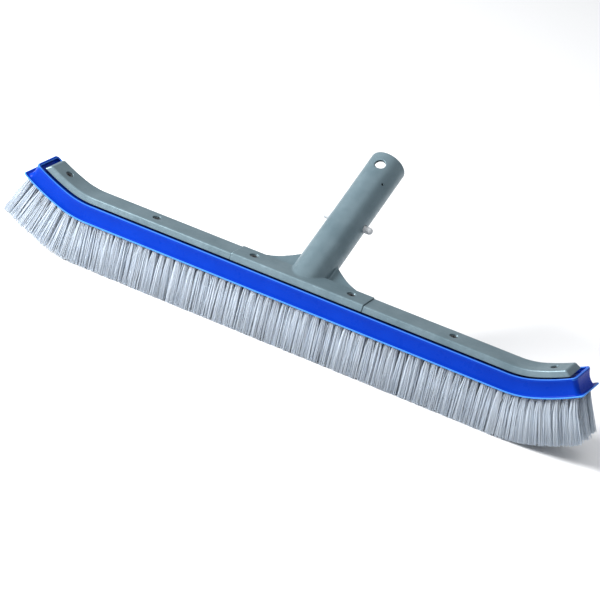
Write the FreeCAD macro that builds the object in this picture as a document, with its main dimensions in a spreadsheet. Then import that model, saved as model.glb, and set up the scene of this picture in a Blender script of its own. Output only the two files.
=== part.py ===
import FreeCAD, Part
import Sketcher
import math
import os

# Pool wall brush: a curved plastic block with five bristle rows, stiffened by two cast arms and
# carried on a cast bracket whose hollow handle tube snaps into a telescopic pole.
#
# The head is laid out along one curve in the XZ plane: straight in the middle, then a bend and a long
# tail that rise at each end. A place on the head is given by its arc length along that curve, its
# offset across the brush (Y) and its height above the block's underside. +Y is the side the handle
# leans to, +Z is up, and the origin is on the plane of the bristle tips, below the block's centre.

Vector = FreeCAD.Vector
Rotation = FreeCAD.Rotation
Placement = FreeCAD.Placement
Constraint = Sketcher.Constraint

DIMENSIONS = [
    # alias, value in mm or degrees, meaning
    ("bristle_length", 38.0, "free length of the bristles"),
    ("straight_half", 187.5, "half of the straight middle stretch"),
    ("bend_radius", 86.0, "radius of the bend at the block's underside"),
    ("bend_angle", 19.0, "angle of the bend"),
    ("tail_radius", 208.0, "radius of the tail beyond the bend"),
    ("flange_end", 255.9, "arc length to the flange's end"),
    ("flange_half", 17.5, "half width of the bottom flange"),
    ("flange_thick", 1.3, "thickness of the bottom flange"),
    ("flange_corner", 1.8, "cut of the flange's corners"),
    ("body_end", 252.7, "arc length to the end of the block above the flange"),
    ("body_half", 16.1, "half width of the block at its lip and foot"),
    ("body_corner", 2.6, "cut of the block's corners"),
    ("body_top", 15.3, "height of the block's lip"),
    ("waist_foot", 1.0, "height where the hollow side starts"),
    ("waist_head", 13.6, "height where the hollow side ends"),
    ("waist_radius", 18.5, "radius of the hollow side"),
    ("lip_round", 0.6, "rounding of the lip's outer edge"),
    ("trough_end", 250.0, "arc length to the trough's end"),
    ("trough_half", 14.4, "half width of the trough"),
    ("trough_floor", 12.3, "height of the trough's floor"),
    ("trough_corner", 1.8, "cut of the trough's corners"),
    ("post_radius", 3.8, "radius of the screw posts in the trough"),
    ("post_top", 17.3, "height of the posts under the arms"),
    ("inner_post_top", 16.5, "height of the posts under the tongues"),
    ("pilot_radius", 1.95, "radius of the pilot holes in the posts"),
    ("pilot_floor", 9.6, "height of the pilot holes' floor"),
    ("tuft_pitch", 7.02, "distance between tufts along a row"),
    ("hole_radius", 2.0, "radius of a tuft hole"),
    ("hole_depth", 8.4, "depth of a tuft hole"),
    ("row_pitch", 6.1, "distance between rows at the block"),
    ("row_spread", 8.3, "distance between rows at the tips"),
    ("row_root_half", 1.1, "half thickness of a row at the block"),
    ("row_tip_half", 1.3, "half thickness of a row at the tips"),
    ("row_end", 252.7, "arc length to a row's end"),
    ("plug_radius", 1.8, "radius of a tuft's root"),
    ("plug_length", 6.7, "length of a tuft's root inside its hole"),
    ("anchor_thick", 0.5, "thickness of a tuft's flat anchor"),
    ("anchor_width", 3.6, "width of a tuft's flat anchor"),
    ("anchor_height", 1.4, "height of a tuft's flat anchor"),
    ("seam_half", 59.4, "distance of the seams from the centre"),
    ("seam_gap", 0.25, "gap in each seam"),
    ("arm_foot", 15.4, "height of the arms' lower edge"),
    ("arm_foot_half", 11.8, "half width of an arm at its lower edge"),
    ("arm_top", 20.8, "height of an arm's top"),
    ("arm_top_half", 10.4, "half width of an arm at its top"),
    ("ridge_round", 1.1, "rounding of the arms' and saddle's ridges"),
    ("arm_sweep_end", 249.0, "arc length to which an arm is swept before its end is cut"),
    ("arm_end", 242.7, "arc length to the end of an arm's top"),
    ("arm_end_slope", 31.0, "lean of an arm's end face"),
    ("arm_hollow_end", 237.0, "arc length to the end of an arm's hollow"),
    ("wall", 2.4, "wall of the castings"),
    ("boss_radius", 4.4, "radius of the screw bosses inside an arm"),
    ("boss_foot", 17.4, "height of the bosses' lower face"),
    ("tongue_top", 19.0, "height of a tongue's top"),
    ("tongue_foot", 16.6, "height of a tongue's underside"),
    ("tongue_half", 8.0, "half width of a tongue"),
    ("tongue_start", 36.0, "distance of a tongue's end from the centre"),
    ("tongue_root", 66.0, "distance from the centre to which a tongue runs under its arm"),
    ("saddle_top", 21.6, "height of the saddle's top"),
    ("saddle_top_half", 10.8, "half width of the saddle's top"),
    ("saddle_foot_half", 12.3, "half width of the saddle at its lower edge"),
    ("saddle_ceiling", 19.15, "height of the saddle's inner ceiling"),
    ("handle_tilt", 30.0, "tilt of the handle tube above horizontal"),
    ("handle_foot", 24.5, "distance behind the centre where the tube's axis meets the arms' top"),
    ("handle_reach", 122.5, "length of the tube's axis from there to its tip"),
    ("tube_radius", 15.5, "outer radius of the tube"),
    ("tube_rim", 0.9, "chamfer of the tube's tip"),
    ("spigot_length", 58.0, "length of the tube's straight outer wall"),
    ("tube_root_radius", 15.9, "outer radius at the end of the tube's draft"),
    ("tube_length", 152.0, "length of the tube before it is trimmed"),
    ("bore_radius", 12.9, "inner radius of the tube"),
    ("bore_depth", 104.0, "depth of the tube's bore"),
    ("trim_height", 15.9, "height of the flat underside of the tube's root"),
    ("trim_back", 10.5, "distance behind the centre to which the saddle's inside stays clear"),
    ("cross_radius", 4.6, "radius of the cross hole near the tip"),
    ("cross_depth", 13.3, "distance of the cross hole from the tip"),
    ("vent_radius", 1.0, "radius of the small hole"),
    ("vent_depth", 29.1, "distance of the small hole from the tip"),
    ("vent_turn", 43.0, "turn of the small hole from the tube's upper side"),
    ("web_half", 54.0, "half length of the web plates before they are trimmed"),
    ("web_half_thick", 1.8, "half thickness of the web plates"),
    ("web_start", 84.0, "distance of the web plates' upper end from the tip"),
    ("web_end", 136.0, "distance of the web plates' lower end from the tip"),
    ("shelf_top", 18.2, "height of the shelf that joins the webs to the saddle"),
    ("shelf_back", 18.0, "distance behind the centre to which the shelf runs"),
    ("web_neck", 15.0, "half width of the webs at the tube"),
    ("web_neck_back", 30.5, "distance behind the centre where a web leaves the tube"),
    ("web_toe", 47.0, "half width of the webs near the saddle"),
    ("web_toe_back", 14.6, "distance behind the centre where a web's outline ends"),
    ("web_curve", 100.0, "radius of a web's hollow outline"),
    ("web_outline_back", 50.0, "distance behind the centre to which the web's outline runs"),
    ("button_depth", 69.7, "distance of the buttons from the tube's tip"),
    ("button_hole", 3.35, "radius of the button holes"),
    ("button_shank", 3.2, "radius of a button inside its hole"),
    ("button_radius", 3.0, "radius of a button outside the tube"),
    ("button_step", 15.55, "distance from the axis where a button narrows"),
    ("button_dome", 19.8, "distance from the axis where a button's dome starts"),
    ("button_flange", 4.4, "radius of a button's flange"),
    ("flange_inside", 10.7, "distance of the flange's inner face from the axis"),
    ("flange_outside", 11.7, "distance of the flange's outer face from the axis"),
    ("neck_radius", 1.6, "radius of a button's neck through the spring"),
    ("rivet_radius", 2.4, "radius of the riveted head inside the spring"),
    ("rivet_inside", 8.6, "distance of the riveted head's inner face from the axis"),
    ("rivet_outside", 9.8, "distance of the riveted head's outer face from the axis"),
    ("leaf_inside", 9.9, "distance of the spring's inner face from the axis"),
    ("leaf_outside", 10.6, "distance of the spring's outer face from the axis"),
    ("leaf_hole", 1.7, "radius of the holes in the spring"),
    ("leaf_half", 4.0, "half width of the spring"),
    ("leaf_start", 60.5, "distance of the spring's free ends from the tip"),
    ("leaf_knee", 75.0, "distance of the spring's knees from the tip"),
    ("leaf_bend", 95.5, "distance of the start of the spring's bend from the tip"),
    ("bend_outside", 2.9, "outer half width of the spring's bend"),
    ("bend_inside", 2.2, "inner half width of the spring's bend"),
    ("bend_outer_round", 3.1, "outer radius of the spring's bend"),
    ("bend_inner_round", 2.4, "inner radius of the spring's bend"),
    ("recess_radius", 3.6, "radius of the screw recesses"),
    ("recess_depth", 1.0, "depth of a screw's head below the surface"),
    ("sink_depth", 1.7, "depth of the countersink"),
    ("clear_radius", 2.0, "radius of the screws' through holes"),
    ("head_radius", 3.3, "radius of a screw's head"),
    ("head_rim", 0.3, "height of the head's rim"),
    ("head_height", 1.8, "height of a screw's head"),
    ("shank_radius", 1.85, "radius of a screw's shank"),
    ("shank_length", 8.6, "distance from the head's top to the start of the point"),
    ("screw_length", 10.2, "length of a screw"),
    ("slot_half", 0.5, "half width of the cross slot"),
    ("slot_reach", 1.9, "half length of the cross slot"),
    ("slot_depth", 1.4, "depth of the cross slot"),
    ("inner_screw", 43.9, "arc length to the inner screws"),
    ("middle_screw", 134.2, "arc length to the middle screws"),
    ("outer_screw", 227.8, "arc length to the outer screws"),
]
ROWS = [("bristle_row_1", "tuft_anchors_1", -2), ("bristle_row_2", "tuft_anchors_2", -1),
        ("bristle_row_3", "tuft_anchors_3", 0), ("bristle_row_4", "tuft_anchors_4", 1),
        ("bristle_row_5", "tuft_anchors_5", 2)]
SCREWS = [("screw_left_outer", "outer_screw", -1), ("screw_left_middle", "middle_screw", -1),
          ("screw_left_inner", "inner_screw", -1), ("screw_right_inner", "inner_screw", 1),
          ("screw_right_middle", "middle_screw", 1), ("screw_right_outer", "outer_screw", 1)]

doc = FreeCAD.newDocument("pool_wall_brush")
sheet = doc.addObject("Spreadsheet::Sheet", "dims")


def fill_sheet():
    """Write the driving dimensions: meaning, value and alias."""
    for row, (alias, number, meaning) in enumerate(DIMENSIONS, start=1):
        sheet.set(f"A{row}", meaning)
        sheet.set(f"B{row}", str(number))
        sheet.setAlias(f"B{row}", alias)
    doc.recompute()


def value(alias):
    return float(sheet.get(alias))


def measure(text):
    """Number and sheet expression of a sum such as "body_top - lip_round"."""
    total, sign, words = 0.0, 1, []
    for word in text.split():
        if word in "+-":
            sign = 1 if word == "+" else -1
            words.append(word)
        elif word[0].isdigit():
            total += sign * float(word)
            words.append(word)
        else:
            total += sign * value(word)
            words.append("dims." + word)
    return total, " ".join(words)


# ---------------------------------------------------------------- places on the head and the handle

def frame_at(arc, across=0.0, height=0.0):
    """Placement on the head: X along the curve, Y across the brush, Z away from the underside."""
    bend = math.radians(value("bend_angle"))
    bend_start = value("straight_half")
    tail_start = bend_start + value("bend_radius") * bend
    centre = Vector(bend_start, 0, value("bend_radius"))
    radius, turn = value("bend_radius"), (abs(arc) - bend_start) / value("bend_radius")
    if abs(arc) <= bend_start:
        point, turn = Vector(abs(arc), 0, 0), 0.0
    else:
        if abs(arc) > tail_start:
            grow = value("tail_radius") - radius
            centre += Vector(-math.sin(bend), 0, math.cos(bend)) * grow
            radius, turn = value("tail_radius"), bend + (abs(arc) - tail_start) / value("tail_radius")
        point = centre + Vector(math.sin(turn), 0, -math.cos(turn)) * radius
    point += Vector(-math.sin(turn), 0, math.cos(turn)) * height
    side = -1 if arc < 0 else 1
    return Placement(Vector(side * point.x, across, point.z),
                     Rotation(Vector(0, 1, 0), -side * math.degrees(turn)))


def handle_frame(depth=0.0):
    """Placement on the tube's axis: Z runs from the tip down the tube, Y to its upper side."""
    tilt = math.radians(value("handle_tilt"))
    along = Vector(0, math.cos(tilt), math.sin(tilt))
    foot = Vector(0, value("handle_foot"), value("arm_top"))
    return Placement(foot + along * (value("handle_reach") - depth),
                     Rotation(Vector(1, 0, 0), 90 + value("handle_tilt")))


def lift(obj):
    """Stand a finished sub-part on its bristles: the head's frame starts at the block's underside."""
    raised = Placement(Vector(0, 0, value("bristle_length")), Rotation())
    obj.Placement = raised.multiply(obj.Placement)
    return obj


# ---------------------------------------------------------------- sketches

def origin_plane(body, role):
    return next(item for item in body.Origin.OriginFeatures if item.Role == role)


def new_sketch(body, name, role, offset=None):
    sketch = body.newObject("Sketcher::SketchObject", name)
    sketch.AttachmentSupport = (origin_plane(body, role), [""])
    sketch.MapMode = "FlatFace"
    if offset:
        sketch.setExpression("AttachmentOffset.Base.z", measure(offset)[1])
    return sketch


def bind(sketch, constraint, expression):
    index = sketch.addConstraint(constraint)
    sketch.setExpression(f"Constraints[{index}]", expression)


def pin_point(sketch, geometry, end, x_text, y_text):
    """Hold a sketch point at a place given in sheet dimensions."""
    (x, x_expression), (y, y_expression) = measure(x_text), measure(y_text)
    bind(sketch, Constraint("DistanceX", -1, 1, geometry, end, x), x_expression)
    bind(sketch, Constraint("DistanceY", -1, 1, geometry, end, y), y_expression)


def bulge_arc(start, end, radius):
    """Minor arc from start to end, and the sketch point numbers of its two ends.

    A positive radius bulges to the right of the way from start to end, a negative one to the left.
    """
    chord = end - start
    inward = Vector(-chord.y, chord.x, 0).normalize() * (1 if radius > 0 else -1)
    centre = (start + end) * 0.5 + inward * math.sqrt(radius ** 2 - chord.Length ** 2 / 4)
    first, last = (start, end) if radius > 0 else (end, start)
    angles = [math.atan2(point.y - centre.y, point.x - centre.x) for point in (first, last)]
    circle = Part.Circle(centre, Vector(0, 0, 1), abs(radius))
    return Part.ArcOfCircle(circle, *angles), ((1, 2) if radius > 0 else (2, 1))


def outline(sketch, corners):
    """Closed outline of corners (x, y), each with an optional rounding or a curved side after it.

    A third item "round NAME" rounds that corner by NAME; "curve NAME" or "curve -NAME" makes the
    side that follows it an arc of radius NAME, bulging right or left of its direction.
    """
    points = [Vector(measure(c[0])[0], measure(c[1])[0], 0) for c in corners]
    rounds = [c[2][6:] if len(c) > 2 and c[2].startswith("round ") else None for c in corners]
    curves = [c[2][6:] if len(c) > 2 and c[2].startswith("curve ") else None for c in corners]
    count = len(corners)
    starts, ends = [], []
    for i in range(count):
        before, here, after = points[i - 1], points[i], points[(i + 1) % count]
        setback = 0.0
        if rounds[i]:
            opening = (before - here).getAngle(after - here)
            setback = value(rounds[i]) / math.tan(opening / 2)
        starts.append(here + (after - here).normalize() * setback)
        ends.append(here + (before - here).normalize() * setback)
    sides = []
    for i in range(count):
        start, end = starts[i], ends[(i + 1) % count]
        if curves[i]:
            sign = -1 if curves[i].startswith("-") else 1
            arc, (first, last) = bulge_arc(start, end, sign * value(curves[i].lstrip("-")))
            side = sketch.addGeometry(arc)
            bind(sketch, Constraint("Radius", side, arc.Radius), "dims." + curves[i].lstrip("-"))
        else:
            side, first, last = sketch.addGeometry(Part.LineSegment(start, end)), 1, 2
        sides.append((side, first, last))
    for i in range(count):
        side, first, _ = sides[i]
        previous, _, previous_last = sides[i - 1]
        if rounds[i]:
            round_corner(sketch, corners[i], rounds[i], (ends[i], starts[i]),
                         (previous, previous_last), (side, first))
        else:
            sketch.addConstraint(Constraint("Coincident", previous, previous_last, side, first))
            pin_point(sketch, side, first, corners[i][0], corners[i][1])


def round_corner(sketch, corner, radius_name, tangent_points, incoming, outgoing):
    """Arc between two lines that would meet at the corner, which stays as a construction point."""
    radius = value(radius_name)
    here = Vector(measure(corner[0])[0], measure(corner[1])[0], 0)
    turn = (here - tangent_points[0]).cross(tangent_points[1] - here).z
    arc, (first, last) = bulge_arc(*tangent_points, radius if turn > 0 else -radius)
    side = sketch.addGeometry(arc)
    point = sketch.addGeometry(Part.Point(here), True)
    pin_point(sketch, point, 1, corner[0], corner[1])
    for line, _ in (incoming, outgoing):
        sketch.addConstraint(Constraint("PointOnObject", point, 1, line))
    sketch.addConstraint(Constraint("Tangent", incoming[0], incoming[1], side, first))
    sketch.addConstraint(Constraint("Tangent", side, last, outgoing[0], outgoing[1]))
    bind(sketch, Constraint("Radius", side, radius), "dims." + radius_name)


def mirrored_corners(half):
    """Whole outline from its right half, listed from the bottom upwards.

    A curved side changes its bulge name to the corner that starts it on the way back down.
    """
    left = []
    for i in range(len(half) - 1, -1, -1):
        x_text, y_text = half[i][0], half[i][1]
        note = half[i][2:] if len(half[i]) > 2 and half[i][2].startswith("round") else ()
        if i > 0 and len(half[i - 1]) > 2 and half[i - 1][2].startswith("curve"):
            note = (half[i - 1][2],)
        left.append(("- " + x_text, y_text) + tuple(note))
    return list(half) + left


# ---------------------------------------------------------------- solids along the head's curve

def head_path(body, name, start, end):
    """Half of the head's curve, from start to end along it: a line, the bend and part of the tail."""
    sketch = new_sketch(body, name, "XZ_Plane")
    x_start, arc_end = measure(start)[0], measure(end)[0]
    bend, bend_radius = math.radians(value("bend_angle")), value("bend_radius")
    tail_radius = value("tail_radius")
    tail = (arc_end - value("straight_half") - bend_radius * bend) / tail_radius
    corner = Vector(value("straight_half"), 0, 0)
    centre = corner + Vector(0, bend_radius, 0)
    far_centre = centre + Vector(-math.sin(bend), math.cos(bend), 0) * (tail_radius - bend_radius)
    down = -math.pi / 2
    axis = Vector(0, 0, 1)
    sketch.addGeometry(Part.LineSegment(Vector(x_start, 0, 0), corner))
    sketch.addGeometry(Part.ArcOfCircle(Part.Circle(centre, axis, bend_radius), down, down + bend))
    sketch.addGeometry(Part.ArcOfCircle(Part.Circle(far_centre, axis, tail_radius),
                                        down + bend, down + bend + tail))
    pin_point(sketch, 0, 1, start, "0")
    sketch.addConstraint(Constraint("Horizontal", 0))
    bind(sketch, Constraint("DistanceX", -1, 1, 0, 2, corner.x), "dims.straight_half")
    sketch.addConstraint(Constraint("Tangent", 0, 2, 1, 1))
    sketch.addConstraint(Constraint("Tangent", 1, 2, 2, 1))
    bind(sketch, Constraint("Radius", 1, bend_radius), "dims.bend_radius")
    bind(sketch, Constraint("Radius", 2, tail_radius), "dims.tail_radius")
    bind(sketch, Constraint("Angle", 1, bend), "dims.bend_angle")
    bind(sketch, Constraint("Angle", 2, tail),
         f"({measure(end)[1]} - dims.straight_half) / dims.tail_radius * 180 / pi"
         " - dims.bend_radius * dims.bend_angle / dims.tail_radius")
    return sketch


def sweep(body, name, corners, start, end, kind="AdditivePipe"):
    """A section swept along half of the head's curve."""
    path = head_path(body, name + "_path", start, end)
    section = new_sketch(body, name + "_section", "YZ_Plane", start if start != "0" else None)
    outline(section, corners)
    doc.recompute()
    pipe = body.newObject("PartDesign::" + kind, name)
    pipe.Profile = section
    pipe.Spine = (path, ["Edge1", "Edge2", "Edge3"])
    doc.recompute()
    return pipe


def mirror_whole(body, name):
    """The other half of a body that is symmetrical about its YZ plane."""
    mirror = body.newObject("PartDesign::Mirrored", name)
    mirror.TransformMode = "Whole shape"
    mirror.MirrorPlane = (origin_plane(body, "YZ_Plane"), [""])
    body.Tip = mirror
    doc.recompute()
    return mirror


# ---------------------------------------------------------------- Part primitives

def primitive(kind, name, place, **sizes):
    """A Part primitive at a placement, with each size bound to a sum of sheet dimensions."""
    solid = doc.addObject("Part::" + kind, name)
    for prop, text in sizes.items():
        solid.setExpression(prop, measure(text)[1])
    solid.Placement = place
    return solid


def centred_box(name, place, length, width, height):
    """A box of half sizes length and width about a placement's Z axis, standing on it."""
    box = doc.addObject("Part::Box", name)
    box.setExpression("Length", f"2 * ({measure(length)[1]})")
    box.setExpression("Width", f"2 * ({measure(width)[1]})")
    box.setExpression("Height", measure(height)[1])
    corner = Vector(-measure(length)[0], -measure(width)[0], 0)
    box.Placement = place.multiply(Placement(corner, Rotation()))
    return box


def boolean(kind, name, base, tools):
    """Part::Cut, Part::Fuse or Part::Common of a base and one or more tools."""
    tool = tools[0]
    if len(tools) > 1:
        tool = doc.addObject("Part::MultiFuse", name + "_tools")
        tool.Shapes = tools
    result = doc.addObject("Part::" + kind, name)
    result.Base = base
    result.Tool = tool
    doc.recompute()
    return result


def compound(name, shapes):
    """A repeated small feature: one computed shape for all its copies along the rows."""
    feature = doc.addObject("Part::Feature", name)
    feature.Shape = Part.makeCompound(shapes)
    return feature


# ---------------------------------------------------------------- the block

def tuft_places(row):
    """Arc lengths of the tufts in a row: neighbouring rows are staggered by half a pitch."""
    pitch = value("tuft_pitch")
    shift = 0.0 if row % 2 else pitch / 2
    reach = int((value("body_end") - value("hole_radius") - 1.0 - shift) / pitch)
    right = [shift + pitch * i for i in range(reach + 1)]
    return sorted(set([-arc for arc in right] + right))


def corner_cuts(name, arc, half, cut):
    """Tools that take the four upright corners off a swept solid at 45 degrees."""
    tools = []
    depth = value("flange_half")
    for i, (side, across) in enumerate([(1, 1), (1, -1), (-1, 1), (-1, -1)]):
        corner = frame_at(side * value(arc), across * value(half), -1)
        outward = Placement(Vector(), Rotation(Vector(side, across, 0), Vector(1, 0, 0)).inverted())
        middle = Placement(Vector(depth - value(cut) / math.sqrt(2), 0, 0), Rotation())
        tools.append(centred_box(f"{name}_{i}", corner.multiply(outward).multiply(middle),
                                 "flange_half", "flange_half", "saddle_top"))
    return tools


def end_hollow(name, side):
    """Tool that makes the block's end as hollow as its sides."""
    middle = (value("waist_foot") + value("waist_head")) / 2
    span = (value("waist_head") - value("waist_foot")) / 2
    reach = math.sqrt(value("waist_radius") ** 2 - span ** 2)
    place = frame_at(side * value("body_end"), -value("flange_half"), middle)
    sideways = Placement(Vector(side * reach, 0, 0), Rotation(Vector(1, 0, 0), -90))
    return primitive("Cylinder", name, place.multiply(sideways), Radius="waist_radius",
                     Height="flange_half + flange_half")


def head_solid(name, corners, end):
    """A section swept along the whole head, from end to end."""
    body = doc.addObject("PartDesign::Body", name)
    sweep(body, name + "_half", corners, "0", end)
    mirror_whole(body, name + "_halves")
    return body


def build_block():
    hull = head_solid("hull", mirrored_corners([
        ("body_half", "0"), ("body_half", "waist_foot", "curve -waist_radius"),
        ("body_half", "waist_head"), ("body_half", "body_top", "round lip_round")]), "body_end")
    hull = boolean("Cut", "rounded_hull", hull,
                   corner_cuts("hull_corner", "body_end", "body_half", "body_corner")
                   + [end_hollow("left_end_hollow", -1), end_hollow("right_end_hollow", 1)])
    flange = head_solid("flange", mirrored_corners([
        ("flange_half", "0"), ("flange_half", "flange_thick")]), "flange_end")
    flange = boolean("Cut", "rounded_flange", flange,
                     corner_cuts("flange_corner", "flange_end", "flange_half", "flange_corner"))
    trough = head_solid("trough", mirrored_corners([
        ("trough_half", "trough_floor"), ("trough_half", "body_top + 2")]), "trough_end")
    trough = boolean("Cut", "rounded_trough", trough,
                     corner_cuts("trough_corner", "trough_end", "trough_half", "trough_corner"))
    posts, pilots = [], []
    for name, arc_name, side in SCREWS:
        top = "inner_post_top" if arc_name == "inner_screw" else "post_top"
        arc = side * value(arc_name)
        posts.append(primitive("Cylinder", "post_" + name, frame_at(arc, 0, value("trough_floor") - 1),
                               Radius="post_radius", Height=f"{top} - trough_floor + 1"))
        pilots.append(primitive("Cylinder", "pilot_" + name, frame_at(arc, 0, value("pilot_floor")),
                                Radius="pilot_radius", Height=f"{top} - pilot_floor + 1"))
    holes = [Part.makeCylinder(value("hole_radius"), value("hole_depth") + 1).transformed(
             frame_at(arc, row * value("row_pitch"), -1).toMatrix())
             for _, _, row in ROWS for arc in tuft_places(row)]
    tray = boolean("Cut", "tray", boolean("Fuse", "hull_and_flange", hull, [flange]), [trough])
    solid = boolean("Fuse", "block_with_posts", tray, posts)
    bored = boolean("Cut", "block_with_pilots", solid, pilots)
    return finish("brush_block", boolean("Cut", "brush_block", bored, [compound("tuft_holes", holes)]))


# ---------------------------------------------------------------- bristles and their anchors

def build_row(name, row):
    """One row of tufts as a plain upright band with the tufts' roots on its upper edge."""
    body = doc.addObject("PartDesign::Body", name + "_body")
    root, tip = f"{row} * row_pitch", f"{row} * row_spread"
    section = new_row_section(body, name, row)
    path = head_path(body, name + "_path", "0", "row_end")
    doc.recompute()
    pipe = body.newObject("PartDesign::AdditivePipe", name + "_band")
    pipe.Profile = section
    pipe.Spine = (path, ["Edge1", "Edge2", "Edge3"])
    doc.recompute()
    mirror_whole(body, name + "_halves")
    roots = [Part.makeCylinder(value("plug_radius"), value("plug_length") + 1).transformed(
             frame_at(arc, row * value("row_pitch"), -1).toMatrix()) for arc in tuft_places(row)]
    return finish(name, boolean("Fuse", name, body, [compound(name + "_roots", roots)]))


def new_row_section(body, name, row):
    """Section of a row: narrow at the block, wider and further out at the tips."""
    section = new_sketch(body, name + "_section", "YZ_Plane")
    places = [("root", -1), ("tip", -1), ("tip", 1), ("root", 1)]
    corners = []
    for level, side in places:
        across = value("row_pitch" if level == "root" else "row_spread") * row
        half = value(f"row_{level}_half")
        pitch = "row_pitch" if level == "root" else "row_spread"
        height = 0.0 if level == "root" else -value("bristle_length")
        corners.append((Vector(across + side * half, height, 0),
                        f"{row} * dims.{pitch} + {side} * dims.row_{level}_half",
                        "0" if level == "root" else "-dims.bristle_length"))
    for i in range(4):
        section.addGeometry(Part.LineSegment(corners[i][0], corners[(i + 1) % 4][0]))
    for i, (point, x_expression, y_expression) in enumerate(corners):
        section.addConstraint(Constraint("Coincident", i - 1 if i else 3, 2, i, 1))
        bind(section, Constraint("DistanceX", -1, 1, i, 1, point.x), x_expression)
        bind(section, Constraint("DistanceY", -1, 1, i, 1, point.y), y_expression)
    return section


def build_anchors(name, row):
    """The flat wire anchors of a row: a group of separate small plates, one in each tuft hole."""
    width, thick, height = value("anchor_width"), value("anchor_thick"), value("anchor_height")
    plates = []
    for arc in tuft_places(row):
        plate = Part.makeBox(thick, width, height, Vector(-thick / 2, -width / 2, 0))
        place = frame_at(arc, row * value("row_pitch"), value("hole_depth") - height - 0.05)
        plates.append(plate.transformed(place.toMatrix()))
    return finish(name, compound(name, plates))


# ---------------------------------------------------------------- the arms

def screw_recess(name, place):
    """Tool for a recessed countersunk screw, below a surface that holds the placement's origin."""
    def sunk(depth):
        return place.multiply(Placement(Vector(0, 0, -depth), Rotation()))
    recess, sink = value("recess_depth"), value("sink_depth")
    return [
        primitive("Cylinder", name + "_recess", sunk(recess), Radius="recess_radius",
                  Height="recess_depth + 1"),
        primitive("Cone", name + "_sink", sunk(recess + sink), Radius1="clear_radius",
                  Radius2="recess_radius", Height="sink_depth"),
        primitive("Cylinder", name + "_clear", sunk(recess + sink + 4), Radius="clear_radius",
                  Height="sink_depth + 4"),
    ]


def build_arm(name, turn):
    """A channel-section arm on the right of the saddle, turned half round for the left one."""
    body = doc.addObject("PartDesign::Body", name + "_body")
    sweep(body, name + "_outside", mirrored_corners([
        ("arm_foot_half", "arm_foot"), ("arm_top_half", "arm_top", "round ridge_round")]),
        "seam_half + seam_gap", "arm_sweep_end")
    sweep(body, name + "_hollow", mirrored_corners([
        ("arm_foot_half - wall", "arm_foot - 1"), ("arm_top_half - wall", "arm_top - wall")]),
        "seam_half", "arm_hollow_end", "SubtractivePipe")
    lean = Placement(Vector(), Rotation(Vector(0, 1, 0), -value("arm_end_slope")))
    end_face = frame_at(value("arm_end"), 0, value("arm_top")).multiply(lean)
    end_cut = centred_box(name + "_end_cut", end_face.multiply(
        Placement(Vector(value("arm_foot_half") + 4, 0, -20), Rotation())),
        "arm_foot_half + 4", "arm_foot_half + 4", "arm_top + 20")
    bosses, recesses = [], []
    for arc_name in ("middle_screw", "outer_screw"):
        arc = value(arc_name)
        bosses.append(primitive("Cylinder", f"{name}_{arc_name}_boss",
                                frame_at(arc, 0, value("boss_foot")),
                                Radius="boss_radius", Height="arm_top - boss_foot - 1"))
        recesses += screw_recess(f"{name}_{arc_name}", frame_at(arc, 0, value("arm_top")))
    tongue = doc.addObject("Part::Box", name + "_tongue")
    tongue.setExpression("Length", "dims.tongue_root - dims.tongue_start")
    tongue.setExpression("Width", "2 * dims.tongue_half")
    tongue.setExpression("Height", "dims.tongue_top - dims.tongue_foot")
    tongue.Placement = Placement(
        Vector(value("tongue_start"), -value("tongue_half"), value("tongue_foot")), Rotation())
    recesses.append(primitive("Cylinder", name + "_tongue_hole",
                              frame_at(value("inner_screw"), 0, value("tongue_foot") - 1),
                              Radius="clear_radius", Height="tongue_top - tongue_foot + 2"))
    stock = boolean("Fuse", name + "_stock", body, bosses + [tongue])
    arm = boolean("Cut", name, stock, [end_cut] + recesses)
    arm.Placement = Placement(Vector(), Rotation(Vector(0, 0, 1), turn))
    return finish(name, arm)


# ---------------------------------------------------------------- the bracket

def build_saddle():
    body = doc.addObject("PartDesign::Body", "saddle")
    section = new_sketch(body, "saddle_section", "YZ_Plane")
    outline(section, mirrored_corners([
        ("saddle_foot_half", "arm_foot"), ("saddle_top_half", "saddle_top", "round ridge_round")]))
    pad = body.newObject("PartDesign::Pad", "saddle_outside")
    pad.Profile = section
    pad.setExpression("Length", "2 * dims.seam_half")
    pad.SideType = "Symmetric"
    doc.recompute()
    inside = new_sketch(body, "saddle_inside_section", "YZ_Plane")
    outline(inside, mirrored_corners([
        ("saddle_foot_half - wall", "arm_foot - 1"), ("saddle_top_half - wall", "saddle_ceiling")]))
    pocket = body.newObject("PartDesign::Pocket", "saddle_inside")
    pocket.Profile = inside
    pocket.setExpression("Length", "2 * dims.seam_half + 2")
    pocket.SideType = "Symmetric"
    doc.recompute()
    return body


def build_tube():
    """The handle tube's outside: a chamfered tip, a straight spigot and a slight casting draft."""
    body = doc.addObject("PartDesign::Body", "tube")
    profile = new_sketch(body, "tube_profile", "XZ_Plane")
    outline(profile, [
        ("0", "0"), ("tube_radius - tube_rim", "0"), ("tube_radius", "tube_rim"),
        ("tube_radius", "spigot_length"), ("tube_root_radius", "tube_length"), ("0", "tube_length")])
    turned = body.newObject("PartDesign::Revolution", "tube_outside")
    turned.Profile = profile
    turned.ReferenceAxis = (profile, ["V_Axis"])
    turned.Angle = 360
    body.Placement = handle_frame()
    doc.recompute()
    return body


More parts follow.
